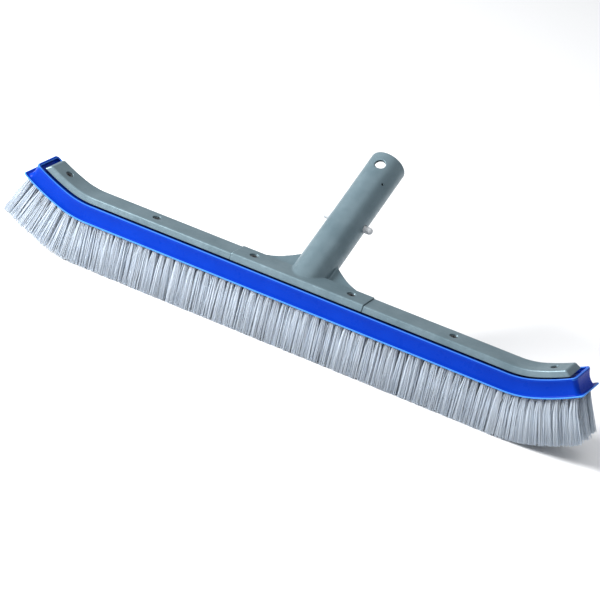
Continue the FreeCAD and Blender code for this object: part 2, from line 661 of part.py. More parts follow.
def build_web():
    """Two gusset plates in the plane of the tube's axis, on a shelf along the saddle's back."""
    plate = centred_box("web_plate", handle_frame(value("web_start")), "web_half",
                        "web_half_thick", "web_end - web_start")
    shelf = doc.addObject("Part::Box", "web_shelf")
    shelf.setExpression("Length", "2 * dims.web_half")
    shelf.setExpression("Width", "dims.shelf_back - dims.trim_back")
    shelf.setExpression("Height", "dims.shelf_top - dims.trim_height")
    shelf.Placement = Placement(
        Vector(-value("web_half"), value("trim_back"), value("trim_height")), Rotation())
    body = doc.addObject("PartDesign::Body", "web_outline")
    plan = new_sketch(body, "web_plan", "XY_Plane")
    outline(plan, mirrored_corners([
        ("web_toe", "trim_back - 2"), ("web_toe", "web_toe_back", "curve -web_curve"),
        ("web_neck", "web_neck_back"), ("web_neck", "web_outline_back")]))
    pad = body.newObject("PartDesign::Pad", "web_height")
    pad.Profile = plan
    pad.setExpression("Length", "3 * dims.arm_top")
    doc.recompute()
    both = boolean("Fuse", "web_stock", plate, [shelf])
    return boolean("Common", "web", both, [body])


def build_bracket():
    root = boolean("Fuse", "root_stock", build_tube(), [build_web()])
    below = centred_box("below_cut", Placement(Vector(0, 0, value("trim_height") - 100), Rotation()),
                        "web_half + 20", "tube_length", "100")
    front = centred_box("front_cut", Placement(
        Vector(0, value("trim_back") - value("web_half"), value("saddle_ceiling") - 40), Rotation()),
        "web_half + 20", "web_half", "40")
    trimmed = boolean("Cut", "root_trimmed", root, [below, front])
    casting = boolean("Fuse", "casting", trimmed, [build_saddle()])
    tools = [primitive("Cylinder", "bore", handle_frame(-1), Radius="bore_radius",
                       Height="bore_depth + 1")]
    sideways = Placement(Vector(), Rotation(Vector(0, 1, 0), 90))
    tools.append(primitive("Cylinder", "button_holes", handle_frame(value("button_depth")).multiply(
        Placement(Vector(-20, 0, 0), Rotation())).multiply(sideways),
        Radius="button_hole", Height="40"))
    upward = Placement(Vector(), Rotation(Vector(1, 0, 0), 90))
    tools.append(primitive("Cylinder", "cross_hole", handle_frame(value("cross_depth")).multiply(
        Placement(Vector(0, 20, 0), Rotation())).multiply(upward),
        Radius="cross_radius", Height="20"))
    turned = Placement(Vector(), Rotation(Vector(0, 0, 1), -value("vent_turn")))
    tools.append(primitive("Cylinder", "vent_hole", handle_frame(value("vent_depth")).multiply(
        turned).multiply(Placement(Vector(0, 20, 0), Rotation())).multiply(upward),
        Radius="vent_radius", Height="20"))
    for side in (-1, 1):
        tools += screw_recess(f"saddle_{side + 1}",
                              frame_at(side * value("inner_screw"), 0, value("saddle_top")))
    return finish("handle_bracket", boolean("Cut", "handle_bracket", casting, tools))


# ---------------------------------------------------------------- the clip

def build_button(name, turn):
    """A snap button: domed pin, step, flange and a neck riveted through the spring."""
    body = doc.addObject("PartDesign::Body", name)
    profile = new_sketch(body, name + "_profile", "XZ_Plane")
    outline(profile, [
        ("rivet_inside", "0"), ("button_dome + button_radius", "0", "curve button_radius"),
        ("button_dome", "button_radius"), ("button_step", "button_radius"),
        ("button_step", "button_shank"), ("flange_outside", "button_shank"),
        ("flange_outside", "button_flange"), ("flange_inside", "button_flange"),
        ("flange_inside", "neck_radius"), ("rivet_outside", "neck_radius"),
        ("rivet_outside", "rivet_radius"), ("rivet_inside", "rivet_radius")])
    turned = body.newObject("PartDesign::Revolution", name + "_solid")
    turned.Profile = profile
    turned.ReferenceAxis = (profile, ["H_Axis"])
    turned.Angle = 360
    body.Placement = handle_frame(value("button_depth")).multiply(
        Placement(Vector(), Rotation(Vector(0, 0, 1), turn)))
    doc.recompute()
    return finish(name, body)


def build_spring():
    """The V spring: two legs from one bend, each with a hole for its button's neck."""
    body = doc.addObject("PartDesign::Body", "clip_spring")
    profile = new_sketch(body, "spring_profile", "XZ_Plane")
    outline(profile, [
        ("leaf_outside", "leaf_start"), ("leaf_outside", "leaf_knee"),
        ("bend_outside", "leaf_bend", "curve bend_outer_round"), ("- bend_outside", "leaf_bend"),
        ("- leaf_outside", "leaf_knee"), ("- leaf_outside", "leaf_start"),
        ("- leaf_inside", "leaf_start"), ("- leaf_inside", "leaf_knee"),
        ("- bend_inside", "leaf_bend", "curve -bend_inner_round"), ("bend_inside", "leaf_bend"),
        ("leaf_inside", "leaf_knee"), ("leaf_inside", "leaf_start")])
    pad = body.newObject("PartDesign::Pad", "spring_strip")
    pad.Profile = profile
    pad.setExpression("Length", "2 * dims.leaf_half")
    pad.SideType = "Symmetric"
    doc.recompute()
    across = new_sketch(body, "spring_hole_circle", "YZ_Plane")
    circle = across.addGeometry(Part.Circle(Vector(0, value("button_depth"), 0), Vector(0, 0, 1),
                                            value("leaf_hole")))
    pin_point(across, circle, 3, "0", "button_depth")
    bind(across, Constraint("Radius", circle, value("leaf_hole")), "dims.leaf_hole")
    holes = body.newObject("PartDesign::Pocket", "spring_holes")
    holes.Profile = across
    holes.setExpression("Length", "2 * dims.leaf_outside + 2")
    holes.SideType = "Symmetric"
    body.Placement = handle_frame()
    doc.recompute()
    return finish("clip_spring", body)


# ---------------------------------------------------------------- the screws

def build_screw(name, arc_name, side):
    """A short countersunk cross-head screw, its head's top recessed below the surface."""
    body = doc.addObject("PartDesign::Body", name)
    profile = new_sketch(body, name + "_profile", "XZ_Plane")
    outline(profile, [
        ("0", "0"), ("0", "- screw_length"), ("shank_radius", "- shank_length"),
        ("shank_radius", "- head_height"), ("head_radius", "- head_rim"), ("head_radius", "0")])
    turned = body.newObject("PartDesign::Revolution", name + "_solid")
    turned.Profile = profile
    turned.ReferenceAxis = (profile, ["V_Axis"])
    turned.Angle = 360
    doc.recompute()
    cross = new_sketch(body, name + "_cross", "XY_Plane")
    outline(cross, [
        ("slot_half", "slot_half"), ("slot_half", "slot_reach"), ("- slot_half", "slot_reach"),
        ("- slot_half", "slot_half"), ("- slot_reach", "slot_half"), ("- slot_reach", "- slot_half"),
        ("- slot_half", "- slot_half"), ("- slot_half", "- slot_reach"),
        ("slot_half", "- slot_reach"), ("slot_half", "- slot_half"),
        ("slot_reach", "- slot_half"), ("slot_reach", "slot_half")])
    pocket = body.newObject("PartDesign::Pocket", name + "_slot")
    pocket.Profile = cross
    pocket.setExpression("Length", "dims.slot_depth")
    surface = value("saddle_top" if arc_name == "inner_screw" else "arm_top")
    height = surface - value("recess_depth")
    body.Placement = frame_at(side * value(arc_name), 0, height).multiply(
        Placement(Vector(), Rotation(Vector(0, 0, 1), 30 * side)))
    doc.recompute()
    return finish(name, body)


# ---------------------------------------------------------------- finished sub-parts

SUB_PARTS = {}


def finish(name, obj):
    """Name a finished sub-part and stand it in the brush's own frame."""
    obj.Label = name
    SUB_PARTS[name] = lift(obj)
    return obj


def check_document():
    """Stop if any object failed or any sub-part's shape is missing or invalid."""
    for obj in doc.Objects:
        if "Invalid" in obj.State or "Error" in obj.State:
            raise RuntimeError(f"{obj.Name} failed: {obj.State}")
    for name, obj in SUB_PARTS.items():
        if obj.Shape.isNull() or not obj.Shape.isValid() or not obj.Shape.Solids:
            raise RuntimeError(f"{name} has no valid solid")


def export():
    os.makedirs("parts", exist_ok=True)
    for name, obj in SUB_PARTS.items():
        obj.Shape.exportStep(f"parts/{name}.step")
        print(f"{name}: {len(obj.Shape.Solids)} solids, {obj.Shape.Volume:.0f} mm3")


def main():
    fill_sheet()
    build_block()
    for row_name, anchor_name, row in ROWS:
        build_row(row_name, row)
        build_anchors(anchor_name, row)
    build_bracket()
    build_arm("right_back_arm", 0)
    build_arm("left_back_arm", 180)
    for name, arc_name, side in SCREWS:
        build_screw(name, arc_name, side)
    build_spring()
    build_button("right_clip_button", 0)
    build_button("left_clip_button", 180)
    doc.recompute()
    check_document()
    export()


main()
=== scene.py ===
import math

import bmesh
import bpy
import numpy as np
from mathutils import Matrix, Vector


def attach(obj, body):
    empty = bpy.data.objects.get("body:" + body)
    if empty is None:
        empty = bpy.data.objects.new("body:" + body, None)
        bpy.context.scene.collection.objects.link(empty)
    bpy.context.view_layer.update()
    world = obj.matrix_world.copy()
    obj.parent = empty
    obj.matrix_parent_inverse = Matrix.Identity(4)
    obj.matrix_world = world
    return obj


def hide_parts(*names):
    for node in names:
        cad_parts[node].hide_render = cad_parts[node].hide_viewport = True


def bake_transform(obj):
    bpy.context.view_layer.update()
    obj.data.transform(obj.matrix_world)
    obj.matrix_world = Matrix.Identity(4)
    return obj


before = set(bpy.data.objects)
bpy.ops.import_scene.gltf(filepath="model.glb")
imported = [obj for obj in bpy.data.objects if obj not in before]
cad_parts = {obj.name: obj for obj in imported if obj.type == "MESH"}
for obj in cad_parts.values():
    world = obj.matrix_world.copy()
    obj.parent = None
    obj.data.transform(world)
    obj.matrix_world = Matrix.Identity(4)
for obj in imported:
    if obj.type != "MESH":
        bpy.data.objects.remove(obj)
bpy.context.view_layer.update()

# Looks of the pool wall brush, built around its imported CAD frame. The castings and the plastic block
# are drawn again from distance fields with the CAD's dimensions, so that every edge and root has its
# moulded radius. The bristles are drawn as real tufts of filaments, and the V spring as two legs cut
# at its bend.

MM = 0.001
BRISTLE_LENGTH = 38.0            # the head's curve starts this far above the floor

# The head's curve: straight, then a bend, then a longer tail. Lengths in mm, angles in radians.
STRAIGHT = 187.5
BEND_RADIUS = 86.0
BEND_ANGLE = math.radians(19.0)
TAIL_RADIUS = 208.0
TAIL_START = STRAIGHT + BEND_RADIUS * BEND_ANGLE

# The plastic block.
FLANGE_END, FLANGE_HALF, FLANGE_THICK = 255.9, 17.5, 1.3
BODY_END, BODY_HALF, BODY_TOP = 252.7, 16.1, 15.3
WAIST_FOOT, WAIST_HEAD, WAIST_RADIUS = 1.0, 13.6, 18.5
TROUGH_END, TROUGH_HALF, TROUGH_FLOOR = 250.0, 14.4, 12.3
POST_RADIUS, POST_TOP, INNER_POST_TOP, PILOT_RADIUS, PILOT_FLOOR = 3.8, 17.3, 16.5, 1.95, 9.6

# The castings: a saddle in the middle and an arm to each side, all with the same sloping sides.
SCREW_INNER, SCREW_MIDDLE, SCREW_OUTER = 43.9, 134.2, 227.8
SEAM, SEAM_GAP, CAST_FOOT, WALL = 59.4, 0.15, 15.4, 2.4
SADDLE_TOP, SADDLE_TOP_HALF, SADDLE_FOOT_HALF, SADDLE_CEILING = 21.6, 10.8, 12.3, 19.15
ARM_TOP, ARM_TOP_HALF, ARM_FOOT_HALF = 20.8, 10.4, 11.8
ARM_END, ARM_END_SLOPE, ARM_HOLLOW_END = 242.7, math.radians(31.0), 237.0
BOSS_RADIUS, BOSS_FOOT = 4.4, 17.4
TONGUE_START, TONGUE_ROOT, TONGUE_HALF, TONGUE_FOOT, TONGUE_TOP = 36.0, 66.0, 8.0, 16.6, 19.0
RECESS_RADIUS, RECESS_DEPTH, SINK_DEPTH, CLEAR_RADIUS = 3.6, 1.0, 1.7, 2.0

# The handle tube and its webs.
TILT = math.radians(30.0)
TUBE_FOOT, TUBE_REACH = 24.5, 122.5
TUBE_RADIUS, TUBE_ROOT_RADIUS, SPIGOT, TUBE_LENGTH = 15.5, 15.9, 58.0, 152.0
BORE_RADIUS, BORE_DEPTH = 12.9, 104.0
CROSS_RADIUS, CROSS_DEPTH = 4.6, 13.3
VENT_RADIUS, VENT_DEPTH, VENT_TURN = 1.0, 29.1, math.radians(43.0)
BUTTON_DEPTH, BUTTON_HOLE, BEND_DEPTH = 69.7, 3.35, 95.5
WEB_HALF_THICK, WEB_START, WEB_END, WEB_HALF = 1.8, 84.0, 136.0, 47.0
WEB_CURVE, WEB_CURVE_CENTRE = 100.0, (74.8, 110.7)
SHELF_BACK, SHELF_TOP, TRIM_HEIGHT, TRIM_BACK = 18.0, 18.2, 15.9, 10.5

# The bristles.
TUFT_PITCH, ROW_PITCH, ROW_SPREAD = 7.02, 6.1, 7.3
TUFT_RADIUS, FILAMENTS, FILAMENT_RADIUS = 1.8, 72, 0.26
FILAMENT_LEVELS = (-0.03, 0.04, 0.3, 1.0)      # shares of the length, from just inside the hole
FLARE_POWER, TIP_SPREAD = 0.3, 2.3             # how early and how wide a tuft flares
TUFT_SCATTER, TIP_SCATTER, TRIM_SCATTER = 0.3, 0.9, 0.5
ROW_MARGIN, TIP_MARGIN = 3.0, 0.4              # kept free at the block's ends and edges
END_LEAN = {-1: 0.08, 1: 0.42}                 # how far the end tufts lean inwards, by side
TRANSLUCENCY = 0.6
PAINTED_ROOT_SHADE, PAINTED_ROOT_SHADE_END = 0.9, 0.4          # painted shade: the tone at the roots, and the share of the length where it ends


# ------------------------------------------------------------------ distance fields

def both(a, b, radius=0.0):
    """Intersection of two fields, its edge rounded to a radius."""
    if radius == 0.0:
        return np.maximum(a, b)
    corner = np.hypot(np.maximum(a + radius, 0), np.maximum(b + radius, 0))
    return np.minimum(np.maximum(a, b), -radius) + corner


def either(a, b, radius=0.0):
    """Union of two fields, with a fillet of a radius along their root."""
    return -both(-a, -b, radius)


def without(a, b, radius=0.0):
    """The first field less the second, its edge rounded to a radius."""
    return both(a, -b, radius)


def between(t, low, high):
    """Distance from the slab between two values, negative inside it."""
    return np.abs(t - (low + high) / 2) - (high - low) / 2


def waist(u):
    """How deep the block's hollow side is at a height."""
    middle = (WAIST_FOOT + WAIST_HEAD) / 2
    reach = math.sqrt(WAIST_RADIUS ** 2 - (WAIST_HEAD - middle) ** 2)
    hollow = np.sqrt(np.maximum(WAIST_RADIUS ** 2 - (u - middle) ** 2, 0)) - reach
    return np.maximum(hollow, 0)


def sloping_sides(y, u, top, top_half, foot_half):
    """Distance from the leaning sides that the saddle and the arms share."""
    slope = (foot_half - top_half) / (top - CAST_FOOT)
    return (np.abs(y) - top_half - (top - u) * slope) / math.sqrt(1 + slope ** 2)


def screw_recess(s, y, u, place, surface):
    """A cylinder, a countersink and a through hole below a surface."""
    radius = np.hypot(s - place, y)
    depth = surface - u
    counterbore = both(radius - RECESS_RADIUS, depth - RECESS_DEPTH)
    rate = (RECESS_RADIUS - CLEAR_RADIUS) / SINK_DEPTH
    cone = (radius - RECESS_RADIUS + (depth - RECESS_DEPTH) * rate) / math.sqrt(1 + rate ** 2)
    return np.minimum(np.minimum(counterbore, np.maximum(cone, RECESS_DEPTH - depth)),
                      radius - CLEAR_RADIUS)


def block_field(s, y, u):
    """The plastic block: hollow-sided body, flange, trough, screw posts and pilot holes."""
    shell = both(np.abs(y) - BODY_HALF + waist(u), np.abs(s) - BODY_END + waist(u), 4.0)
    body = both(shell, between(u, 0, BODY_TOP), 0.65)
    flange_plan = both(np.abs(y) - FLANGE_HALF, np.abs(s) - FLANGE_END, 2.4)
    flange = both(flange_plan, between(u, 0, FLANGE_THICK), 0.5)
    solid = either(body, flange, 0.9)
    trough_plan = both(np.abs(y) - TROUGH_HALF, np.abs(s) - TROUGH_END, 2.5)
    solid = without(solid, both(trough_plan, TROUGH_FLOOR - u, 0.8), 0.55)
    for place, top in ((SCREW_INNER, INNER_POST_TOP), (SCREW_MIDDLE, POST_TOP),
                       (SCREW_OUTER, POST_TOP)):
        radius = np.hypot(np.abs(s) - place, y)
        post = both(radius - POST_RADIUS, between(u, TROUGH_FLOOR - 2, top), 0.3)
        pilot = both(radius - PILOT_RADIUS, PILOT_FLOOR - u)
        solid = without(either(solid, post, 0.6), pilot)
    return solid


def arm_field(s, y, u):
    """The right arm: a channel with a sloping end, two screw bosses and a tongue."""
    sides = sloping_sides(y, u, ARM_TOP, ARM_TOP_HALF, ARM_FOOT_HALF)
    end = (s - ARM_END - (ARM_TOP - u) * math.tan(ARM_END_SLOPE)) * math.cos(ARM_END_SLOPE)
    outside = both(both(sides, end, 1.2), u - ARM_TOP, 1.15)
    outside = both(outside, np.maximum(SEAM + SEAM_GAP - s, CAST_FOOT - u), 0.35)
    hollow = both(both(sides + WALL, s - ARM_HOLLOW_END), u - ARM_TOP + WALL, 0.8)
    arm = without(outside, hollow, 0.4)
    for place in (SCREW_MIDDLE, SCREW_OUTER):
        boss = both(np.hypot(s - place, y) - BOSS_RADIUS, between(u, BOSS_FOOT, ARM_TOP - 1))
        arm = either(arm, boss, 0.5)
    tongue = both(both(between(s, TONGUE_START, TONGUE_ROOT), np.abs(y) - TONGUE_HALF, 1.5),
                  between(u, TONGUE_FOOT, TONGUE_TOP), 0.3)
    tongue = without(tongue, np.hypot(s - SCREW_INNER, y) - CLEAR_RADIUS, 0.2)
    arm = np.minimum(arm, tongue)
    for place in (SCREW_MIDDLE, SCREW_OUTER):
        arm = without(arm, screw_recess(s, y, u, place, ARM_TOP), 0.25)
    return arm


def handle_places(x, y, u):
    """Depth from the tube's tip, height above its axis plane and radius about its axis."""
    back, rise = y - TUBE_FOOT, u - ARM_TOP
    depth = TUBE_REACH - back * math.cos(TILT) - rise * math.sin(TILT)
    upper = rise * math.cos(TILT) - back * math.sin(TILT)
    return depth, upper, np.hypot(x, upper)


def web_field(x, y, u, depth, upper):
    """The gusset plates in the tube's axis plane and the shelf that carries them to the saddle."""
    plate = both(np.abs(upper) - WEB_HALF_THICK, between(depth, WEB_START, WEB_END))
    shelf = both(between(y, TRIM_BACK, SHELF_BACK), between(u, TRIM_HEIGHT, SHELF_TOP))
    centre_x, centre_y = WEB_CURVE_CENTRE
    outline = WEB_CURVE - np.hypot(np.abs(x) - centre_x, y - centre_y)
    plan = both(outline, np.abs(x) - WEB_HALF, 2.0)
    return both(either(plate, shelf, 2.5), plan, 0.8)


def bracket_field(x, y, u):
    """The centre casting: tube, webs and saddle, less the bore, holes and screw recesses."""
    depth, upper, radius = handle_places(x, y, u)
    draft = (TUBE_ROOT_RADIUS - TUBE_RADIUS) * np.maximum(depth - SPIGOT, 0) / (TUBE_LENGTH - SPIGOT)
    tube = both(radius - TUBE_RADIUS - draft, between(depth, 0, TUBE_LENGTH), 0.8)
    root = either(tube, web_field(x, y, u, depth, upper), 1.0)
    root = both(root, TRIM_HEIGHT - u, 0.8)
    root = without(root, both(y - TRIM_BACK, u - SADDLE_CEILING))
    sides = sloping_sides(y, u, SADDLE_TOP, SADDLE_TOP_HALF, SADDLE_FOOT_HALF)
    saddle = both(sides, u - SADDLE_TOP, 1.15)
    saddle = both(saddle, np.maximum(np.abs(x) - SEAM, CAST_FOOT - u), 0.4)
    solid = either(saddle, root, 0.7)
    solid = without(solid, both(sides + WALL, u - SADDLE_CEILING, 0.8), 0.3)
    solid = without(solid, both(radius - BORE_RADIUS, depth - BORE_DEPTH, 1.0), 0.6)
    across = depth - BUTTON_DEPTH
    solid = without(solid, np.hypot(across, upper) - BUTTON_HOLE, 0.3)
    solid = without(solid, both(np.hypot(depth - CROSS_DEPTH, x) - CROSS_RADIUS, -upper), 0.4)
    turned = x * math.cos(VENT_TURN) - upper * math.sin(VENT_TURN)
    outward = x * math.sin(VENT_TURN) + upper * math.cos(VENT_TURN)
    vent = both(np.hypot(depth - VENT_DEPTH, turned) - VENT_RADIUS, -outward)
    solid = without(solid, vent, 0.1)
    return without(solid, screw_recess(np.abs(x), y, u, SCREW_INNER, SADDLE_TOP), 0.25)


# ------------------------------------------------------------------ meshes from fields

def surface_net(field, axes):
    """Points and quads of a field's zero surface on a rectilinear grid."""
    values = field(*np.meshgrid(*axes, indexing="ij"))
    cells = np.array(values.shape) - 1
    total = np.zeros((int(np.prod(cells)), 3))
    count = np.zeros(int(np.prod(cells)))
    quads = []
    for axis in range(3):
        a, b = (axis + 1) % 3, (axis + 2) % 3
        low = np.take(values, range(values.shape[axis] - 1), axis)
        high = np.take(values, range(1, values.shape[axis]), axis)
        edges = np.argwhere((low < 0) != (high < 0))
        first, last = low[tuple(edges.T)], high[tuple(edges.T)]
        points = np.stack([axes[k][edges[:, k]] for k in range(3)], 1)
        span = axes[axis][edges[:, axis] + 1] - axes[axis][edges[:, axis]]
        points[:, axis] += span * first / (first - last)
        ring = []
        for step_a, step_b in ((0, 0), (1, 0), (1, 1), (0, 1)):
            cell = edges.copy()
            cell[:, a] -= step_a
            cell[:, b] -= step_b
            index = np.ravel_multi_index(cell.T, cells)
            for k in range(3):
                total[:, k] += np.bincount(index, points[:, k], len(total))
            count += np.bincount(index, minlength=len(count))
            ring.append(index)
        ring = np.stack(ring, 1)
        outward = first < 0
        quads.append(np.where(outward[:, None], ring, ring[:, ::-1]))
    used = np.flatnonzero(count)
    renumber = np.full(len(count), -1)
    renumber[used] = np.arange(len(used))
    return total[used] / count[used, None], renumber[np.vstack(quads)]


def gradient(field, points, step=0.04):
    """Unit direction in which a field rises."""
    parts = []
    for k in range(3):
        shift = np.zeros(3)
        shift[k] = step
        parts.append(field(*(points + shift).T) - field(*(points - shift).T))
    slope = np.stack(parts, 1) / (2 * step)
    return slope / np.maximum(np.linalg.norm(slope, axis=1), 1e-9)[:, None]


def settle(field, points, reach=0.35):
    """Points moved onto the field's surface, and its normals there."""
    for _ in range(4):
        distance = np.clip(field(*points.T), -reach, reach)
        points = points - gradient(field, points) * distance[:, None]
    return points, gradient(field, points)


def along_curve(s):
    """Place and turn of the head's curve at arc lengths on its right side."""
    arc = np.abs(s)
    first = np.clip((arc - STRAIGHT) / BEND_RADIUS, 0, BEND_ANGLE)
    second = np.maximum(arc - TAIL_START, 0) / TAIL_RADIUS
    x = np.minimum(arc, STRAIGHT) + BEND_RADIUS * np.sin(first)
    z = BEND_RADIUS * (1 - np.cos(first))
    x = x + TAIL_RADIUS * (np.sin(first + second) - np.sin(first))
    z = z + TAIL_RADIUS * (np.cos(first) - np.cos(first + second))
    return x, z, first + second


def on_head(points, normals=None):
    """Points, or normals at those points, from straightened head space into the row frame in mm."""
    side = np.where(points[:, 0] < 0, -1.0, 1.0)
    x, z, turn = along_curve(points[:, 0])
    if normals is not None:
        out = normals[:, 0] * side
        return np.stack([side * (out * np.cos(turn) - normals[:, 2] * np.sin(turn)), normals[:, 1],
                         out * np.sin(turn) + normals[:, 2] * np.cos(turn)], 1)
    x = x - points[:, 2] * np.sin(turn)
    z = z + points[:, 2] * np.cos(turn)
    return np.stack([side * x, points[:, 1], z + BRISTLE_LENGTH], 1)


def raised(points, normals=None):
    """The same for pieces drawn directly in the row frame, from the block's underside up."""
    return points + np.array([0, 0, BRISTLE_LENGTH]) if normals is None else normals


def make_object(name, points, faces, normals=None):
    mesh = bpy.data.meshes.new(name)
    mesh.from_pydata((points * MM).tolist(), [], faces.tolist())
    mesh.polygons.foreach_set("use_smooth", [True] * len(mesh.polygons))
    mesh.update()
    if normals is not None:
        mesh.normals_split_custom_set_from_vertices(normals.tolist())
    obj = bpy.data.objects.new(name, mesh)
    bpy.context.scene.collection.objects.link(obj)
    return obj


def spaced(low, high, coarse, fine, zones):
    """Grid stations from low to high: fine inside the zones, coarse elsewhere."""
    stations = [low]
    while stations[-1] < high:
        here = stations[-1]
        step = fine if any(a <= here < b for a, b in zones) else coarse
        ahead = [a for a, b in zones if here < a < here + step]
        stations.append(min(ahead) if ahead else here + step)
    return np.array(stations)


def cast_piece(name, field, axes, place, turned=False):
    """An object from a field, put in its place and, if turned, given a half turn about Z."""
    points, faces = surface_net(field, axes)
    points, normals = settle(field, points)
    normals = place(points, normals)
    points = place(points)
    if turned:
        half_turn = np.array([-1.0, -1.0, 1.0])
        points, normals = points * half_turn, normals * half_turn
    return make_object(name, points, faces, normals)


def build_block():
    posts = [(side * place - 4.8, side * place + 4.8)
             for place in (SCREW_INNER, SCREW_MIDDLE, SCREW_OUTER) for side in (-1, 1)]
    ends = [(-257.5, -246.0), (246.0, 257.5)]
    tails = spaced(-257.0, 257.0, 2.0, 0.6, ends + posts)
    edges = [(-18.4, -13.2), (13.2, 18.4)]
    across = spaced(-18.4, 18.4, 1.1, 0.4, edges)
    heights = spaced(-0.7, 18.2, 0.8, 0.35, [(-0.7, 2.4), (11.7, 16.2)])
    return cast_piece("block_shell", block_field, (tails, across, heights), on_head)


def build_arm(name, turned):
    zones = [(TONGUE_START - 1, SEAM + 2), (SCREW_MIDDLE - 5, SCREW_MIDDLE + 5),
             (SCREW_OUTER - 5, SCREW_OUTER + 5), (ARM_HOLLOW_END - 2, ARM_END + 8)]
    lengths = spaced(TONGUE_START - 1, ARM_END + 7, 2.2, 0.55, zones)
    across = spaced(-13.4, 13.4, 0.9, 0.45, [(-13.4, -7.4), (-5.0, 5.0), (7.4, 13.4)])
    heights = spaced(CAST_FOOT - 0.9, ARM_TOP + 0.9, 0.5, 0.4, [(BOSS_FOOT - 1, ARM_TOP + 1)])
    return cast_piece(name, arm_field, (lengths, across, heights), on_head, turned)


def build_bracket():
    step = 0.74
    axes = (np.arange(-60.5, 60.6, step), np.arange(-14.2, 140.0, step),
            np.arange(CAST_FOOT - 1.1, 99.0, step))
    return cast_piece("bracket_casting", bracket_field, axes, raised)


# ------------------------------------------------------------------ bristles

def tuft_places(row):
    shift = 0.0 if row % 2 else TUFT_PITCH / 2
    reach = int((BODY_END - ROW_MARGIN - shift) / TUFT_PITCH)
    right = [shift + TUFT_PITCH * i for i in range(reach + 1)]
    return sorted(set([-place for place in right] + right))


def filament_rings(random, place, row):
    """Centres of one tuft's filaments at a few levels, in straightened head space."""
    radius = TUFT_RADIUS * np.sqrt(random.uniform(0, 1, FILAMENTS))
    angle = random.uniform(0, 2 * math.pi, FILAMENTS)
    spread = np.stack([radius * np.cos(angle), radius * np.sin(angle)], 1)
    root = np.array([place, ROW_PITCH * row]) + spread
    _, _, turn = along_curve(np.array([place]))
    side = 1 if place > 0 else -1
    lean = side * BRISTLE_LENGTH * math.sin(END_LEAN[side] * float(turn[0]))
    tip_middle = np.array([place - lean, ROW_SPREAD * row]) + random.normal(0, TUFT_SCATTER, 2)
    tip = tip_middle + spread * TIP_SPREAD + random.normal(0, TIP_SCATTER, (FILAMENTS, 2))
    tip[:, 0] = np.clip(tip[:, 0], TIP_MARGIN - BODY_END, BODY_END - TIP_MARGIN)
    tip[:, 1] = np.clip(tip[:, 1], TIP_MARGIN - FLANGE_HALF, FLANGE_HALF - TIP_MARGIN)
    length = BRISTLE_LENGTH - np.abs(random.normal(0, TRIM_SCATTER, FILAMENTS))
    rings = []
    for share in FILAMENT_LEVELS:
        centre = root + (tip - root) * max(share, 0.0) ** FLARE_POWER
        rings.append(np.column_stack([centre, -length * share]))
    return np.stack(rings, 1)


def filament_points(random, centres):
    """The three corners of each filament at each of its levels."""
    start = random.uniform(0, 2 * math.pi, len(centres))
    corners = []
    for corner in range(3):
        angle = start + corner * 2 * math.pi / 3
        offset = np.stack([np.cos(angle), np.sin(angle), np.zeros(len(centres))], 1) * FILAMENT_RADIUS
        corners.append(centres + offset[:, None, :])
    return np.stack(corners, 2).reshape(-1, 3)


def filament_faces(count, levels):
    """Sides of three-sided filaments, and their two end caps."""
    base = (np.arange(count) * levels * 3)[:, None]
    faces = []
    for level in range(levels - 1):
        for corner in range(3):
            here, there = level * 3 + corner, level * 3 + (corner + 1) % 3
            faces.append(base + np.array([here, here + 3, there + 3, there]))
    sides = np.stack(faces, 1).reshape(-1, 4)
    last = (levels - 1) * 3
    tips = base + np.array([last, last + 2, last + 1])
    roots = base + np.array([0, 1, 2])
    return sides.tolist(), tips.tolist() + roots.tolist()


def build_tufts(row):
    """One row of tufts: three-sided filaments with their own tone."""
    random = np.random.default_rng(40 + row)
    centres = np.concatenate([filament_rings(random, place, row) for place in tuft_places(row)])
    count, levels = centres.shape[:2]
    points = filament_points(random, centres)
    sides, caps = filament_faces(count, levels)
    mesh = bpy.data.meshes.new(f"tufts_{row + 3}")
    mesh.from_pydata((on_head(points) * MM).tolist(), [], sides + caps)
    mesh.polygons.foreach_set("use_smooth", [True] * len(sides) + [False] * len(caps))
    tone = np.repeat(random.uniform(0, 1, count), levels * 3)
    depth = np.tile(np.repeat(FILAMENT_LEVELS, 3), count)
    for name, values in (("tone", tone), ("depth", depth)):
        attribute = mesh.attributes.new(name, "FLOAT", "POINT")
        attribute.data.foreach_set("value", values.astype(np.float32))
    mesh.update()
    obj = bpy.data.objects.new(f"tufts_{row + 3}", mesh)
    bpy.context.scene.collection.objects.link(obj)
    return obj


# ------------------------------------------------------------------ materials

def new_material(name, color, roughness, metallic=0.0, coat=0.0, specular=0.5):
    material = bpy.data.materials.new(name)
    material.use_nodes = True
    shader = material.node_tree.nodes["Principled BSDF"]
    shader.inputs["Base Color"].default_value = (*color, 1.0)
    shader.inputs["Roughness"].default_value = roughness
    shader.inputs["Metallic"].default_value = metallic
    shader.inputs["Coat Weight"].default_value = coat
    shader.inputs["Specular IOR Level"].default_value = specular
    return material, material.node_tree, shader


def noise(tree, scale, detail=3.0):
    """Noise in the object's own space, with a scale per metre."""
    place = tree.nodes.new("ShaderNodeTexCoord")
    texture = tree.nodes.new("ShaderNodeTexNoise")
    texture.inputs["Scale"].default_value = scale
    texture.inputs["Detail"].default_value = detail
    tree.links.new(place.outputs["Object"], texture.inputs["Vector"])
    return texture.outputs["Fac"]


def ramp(tree, value, low, high):
    """A colour between two others, following a value from 0.3 to 0.7."""
    node = tree.nodes.new("ShaderNodeValToRGB")
    node.color_ramp.elements[0].position = 0.3
    node.color_ramp.elements[1].position = 0.7
    node.color_ramp.elements[0].color = (*low, 1.0)
    node.color_ramp.elements[1].color = (*high, 1.0)
    tree.links.new(value, node.inputs["Fac"])
    return node.outputs["Color"]


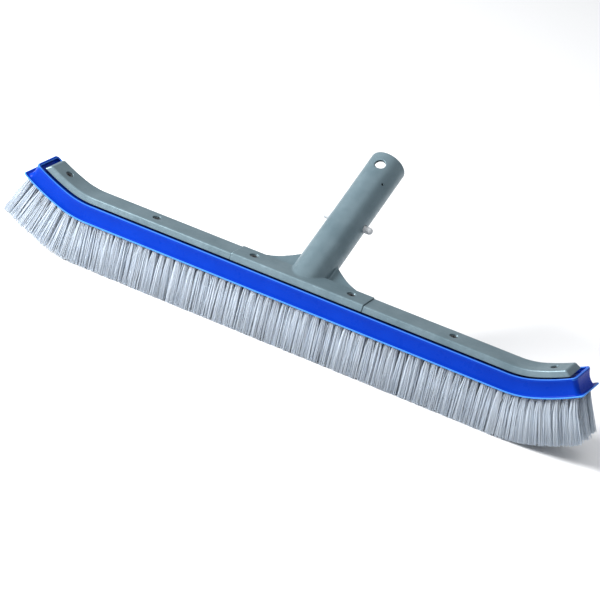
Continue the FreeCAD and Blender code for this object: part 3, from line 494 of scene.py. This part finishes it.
def mix_colors(tree, factor, first, second):
    """The first colour, turning into the second as the factor rises."""
    node = tree.nodes.new("ShaderNodeMix")
    node.data_type = "RGBA"
    tree.links.new(factor, node.inputs["Factor"])
    tree.links.new(first, node.inputs["A"])
    node.inputs["B"].default_value = (*second, 1.0)
    return node.outputs["Result"]


def spread_value(tree, value, low, high):
    """A number between two others, following a value from 0.3 to 0.7."""
    node = tree.nodes.new("ShaderNodeMapRange")
    node.inputs["From Min"].default_value = 0.3
    node.inputs["From Max"].default_value = 0.7
    node.inputs["To Min"].default_value = low
    node.inputs["To Max"].default_value = high
    tree.links.new(value, node.inputs["Value"])
    return node.outputs["Result"]


def bump(tree, shader, height, strength, distance):
    node = tree.nodes.new("ShaderNodeBump")
    node.inputs["Strength"].default_value = strength
    node.inputs["Distance"].default_value = distance
    tree.links.new(height, node.inputs["Height"])
    tree.links.new(node.outputs["Normal"], shader.inputs["Normal"])


def grey_casting():
    """Grey painted aluminium: fine cast grain, faint flow marks, a satin sheen."""
    material, tree, shader = new_material("grey_casting", (0.13, 0.18, 0.2), 0.36, metallic=0.4)
    mottling = noise(tree, 55.0, 2.0)
    tree.links.new(ramp(tree, mottling, (0.112, 0.168, 0.195), (0.146, 0.208, 0.238)),
                   shader.inputs["Base Color"])
    tree.links.new(spread_value(tree, noise(tree, 300.0), 0.3, 0.44), shader.inputs["Roughness"])
    bump(tree, shader, noise(tree, 1400.0, 4.0), 0.35, 0.00012)
    return material


def blue_plastic():
    """Royal blue moulded plastic, with a painted highlight that pales its convex edges."""
    material, tree, shader = new_material("blue_plastic", (0.0, 0.027, 0.33), 0.28, specular=0.06)
    body = ramp(tree, noise(tree, 40.0, 2.0), (0.0, 0.025, 0.317), (0.0, 0.029, 0.343))
    # Painted highlight: convex edges, found by pointiness, are lightened towards a paler blue.
    edges = tree.nodes.new("ShaderNodeNewGeometry").outputs["Pointiness"]
    painted_edge_highlight = tree.nodes.new("ShaderNodeMapRange")
    painted_edge_highlight.inputs["From Min"].default_value = 0.51
    painted_edge_highlight.inputs["From Max"].default_value = 0.56
    tree.links.new(edges, painted_edge_highlight.inputs["Value"])
    blended = mix_colors(tree, painted_edge_highlight.outputs["Result"], body, (0.1, 0.36, 0.9))
    tree.links.new(blended, shader.inputs["Base Color"])
    tree.links.new(spread_value(tree, noise(tree, 160.0), 0.26, 0.32), shader.inputs["Roughness"])
    bump(tree, shader, noise(tree, 900.0, 2.0), 0.08, 0.00002)
    return material


def nylon():
    """White nylon filaments that let light through, each with its own tone, with painted shade that
    greys them towards the roots.
    """
    material, tree, shader = new_material("nylon", (0.6, 0.65, 0.7), 0.45, specular=0.3)
    tone = tree.nodes.new("ShaderNodeAttribute")
    tone.attribute_name = "tone"
    depth = tree.nodes.new("ShaderNodeAttribute")
    depth.attribute_name = "depth"
    filament = ramp(tree, tone.outputs["Fac"], (0.76, 0.82, 0.885), (0.83, 0.885, 0.94))
    # Painted shade: each filament's colour is darkened towards its root.
    shade = tree.nodes.new("ShaderNodeMapRange")
    shade.inputs["To Min"].default_value = PAINTED_ROOT_SHADE
    shade.inputs["To Max"].default_value = 1.0
    shade.inputs["From Max"].default_value = PAINTED_ROOT_SHADE_END
    tree.links.new(depth.outputs["Fac"], shade.inputs["Value"])
    mix = tree.nodes.new("ShaderNodeMix")
    mix.data_type = "RGBA"
    mix.blend_type = "MULTIPLY"
    mix.inputs["Factor"].default_value = 1.0
    tree.links.new(filament, mix.inputs["A"])
    tree.links.new(shade.outputs["Result"], mix.inputs["B"])
    tree.links.new(mix.outputs["Result"], shader.inputs["Base Color"])
    through = tree.nodes.new("ShaderNodeBsdfTranslucent")
    tree.links.new(mix.outputs["Result"], through.inputs["Color"])
    blend = tree.nodes.new("ShaderNodeMixShader")
    blend.inputs["Fac"].default_value = TRANSLUCENCY
    tree.links.new(shader.outputs["BSDF"], blend.inputs[1])
    tree.links.new(through.outputs["BSDF"], blend.inputs[2])
    tree.links.new(blend.outputs["Shader"], tree.nodes["Material Output"].inputs["Surface"])
    return material


def dark_steel():
    """Dull screws with brushing and a little tarnish."""
    material, tree, shader = new_material("dark_steel", (0.16, 0.17, 0.18), 0.38, metallic=0.9)
    tree.links.new(ramp(tree, noise(tree, 900.0), (0.07, 0.075, 0.08), (0.22, 0.23, 0.24)),
                   shader.inputs["Base Color"])
    bump(tree, shader, noise(tree, 3000.0), 0.3, 0.00005)
    return material


def spring_steel():
    material, tree, shader = new_material("spring_steel", (0.5, 0.5, 0.52), 0.3, metallic=1.0)
    tree.links.new(spread_value(tree, noise(tree, 700.0), 0.22, 0.42), shader.inputs["Roughness"])
    return material


def white_plastic():
    material, tree, shader = new_material("white_plastic", (0.56, 0.58, 0.59), 0.35, specular=0.35)
    tree.links.new(ramp(tree, noise(tree, 500.0), (0.52, 0.54, 0.56), (0.6, 0.62, 0.63)),
                   shader.inputs["Base Color"])
    return material


def spring_leg(name, side):
    """One half of the V spring, cut from the CAD's own mesh at its bend."""
    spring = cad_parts["clip_spring"]
    mesh = spring.data.copy()
    mesh.name = name
    mesh.transform(spring.matrix_world)
    work = bmesh.new()
    work.from_mesh(mesh)
    bmesh.ops.bisect_plane(work, geom=work.verts[:] + work.edges[:] + work.faces[:], dist=1e-7,
                           plane_co=(0, 0, 0), plane_no=(side, 0, 0), clear_inner=True)
    bmesh.ops.holes_fill(work, edges=[edge for edge in work.edges if edge.is_boundary])
    work.to_mesh(mesh)
    work.free()
    leg = bpy.data.objects.new(name, mesh)
    bpy.context.scene.collection.objects.link(leg)
    return leg


def wear(objects, material):
    for obj in objects:
        obj.data.materials.clear()
        obj.data.materials.append(material)


# ------------------------------------------------------------------ the model

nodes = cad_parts
block = build_block()
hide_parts("brush_block")
right_arm = build_arm("right_arm_casting", False)
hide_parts("right_back_arm")
left_arm = build_arm("left_arm_casting", True)
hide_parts("left_back_arm")
bracket = build_bracket()
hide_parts("handle_bracket")
tufts = []
for row in range(-2, 3):
    piece = build_tufts(row)
    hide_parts(f"bristle_row_{row + 3}")
    tufts.append(piece)
for piece in [block, right_arm, left_arm, bracket] + tufts:
    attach(piece, "head")

legs = []
for side, which in ((-1, "left"), (1, "right")):
    leg = spring_leg(f"spring_leg_{which}", side)
    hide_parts("clip_spring")
    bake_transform(leg)
    legs.append(leg)

screws = [nodes[name] for name in nodes if name.startswith("screw_")]
buttons = [nodes["left_clip_button"], nodes["right_clip_button"]]
anchors = [nodes[name] for name in nodes if name.startswith("tuft_anchors_")]
wear([block], blue_plastic())
wear([bracket, left_arm, right_arm], grey_casting())
wear(tufts, nylon())
wear(screws, dark_steel())
wear(legs + anchors, spring_steel())
wear(buttons, white_plastic())


# ------------------------------------------------------------------ camera, lights and floor

# The camera looks at the middle of the block's underside. Its three directions are the picture's own.
HEAD = Vector((0, 0, BRISTLE_LENGTH * MM))
RIGHT = Vector((0.8731, 0.4417, 0.2063)).normalized()
BACK = Vector((0.3386, -0.8539, 0.3951)).normalized()
UP = BACK.cross(RIGHT).normalized()
CAMERA_DISTANCE, CAMERA_LENS, CAMERA_SHIFT = 2.28, 172.5, (0.0047, -0.0015)


def add_camera():
    data = bpy.data.cameras.new("camera")
    data.sensor_width = 36.0
    data.lens = CAMERA_LENS
    data.shift_x, data.shift_y = CAMERA_SHIFT
    camera = bpy.data.objects.new("camera", data)
    turn = Matrix((RIGHT, UP, BACK)).transposed().to_4x4()
    camera.matrix_world = Matrix.Translation(HEAD + BACK * CAMERA_DISTANCE) @ turn
    bpy.context.scene.collection.objects.link(camera)
    bpy.context.scene.camera = camera


def add_light(name, place, size, energy, color=(1, 1, 1)):
    data = bpy.data.lights.new(name, "AREA")
    data.shape = "DISK"
    data.size = size
    data.energy = energy
    data.color = color
    light = bpy.data.objects.new(name, data)
    light.matrix_world = (Matrix.Translation(HEAD + place)
                          @ place.to_track_quat("Z", "Y").to_matrix().to_4x4())
    bpy.context.scene.collection.objects.link(light)
    return light


def add_stage():
    bpy.ops.mesh.primitive_plane_add(size=9.0, location=(0, 0, -0.0005))
    floor = bpy.context.object
    floor.name = "floor"
    material, _, _ = new_material("floor", (0.93, 0.93, 0.93), 0.9, specular=0.1)
    floor.data.materials.append(material)
    key = add_light("key", RIGHT * -1.4 + UP * 1.0 + BACK * 0.6, 0.8, 75.0)
    fill = add_light("fill", RIGHT * 0.6 + UP * 1.5 + BACK * 1.2, 1.6, 5.0)
    world = bpy.data.worlds.new("studio")
    world.use_nodes = True
    world.node_tree.nodes["Background"].inputs["Color"].default_value = (0.95, 0.97, 1.0, 1.0)
    world.node_tree.nodes["Background"].inputs["Strength"].default_value = 0.56
    bpy.context.scene.world = world
    bpy.context.scene.view_settings.view_transform = "Standard"


add_camera()
add_stage()
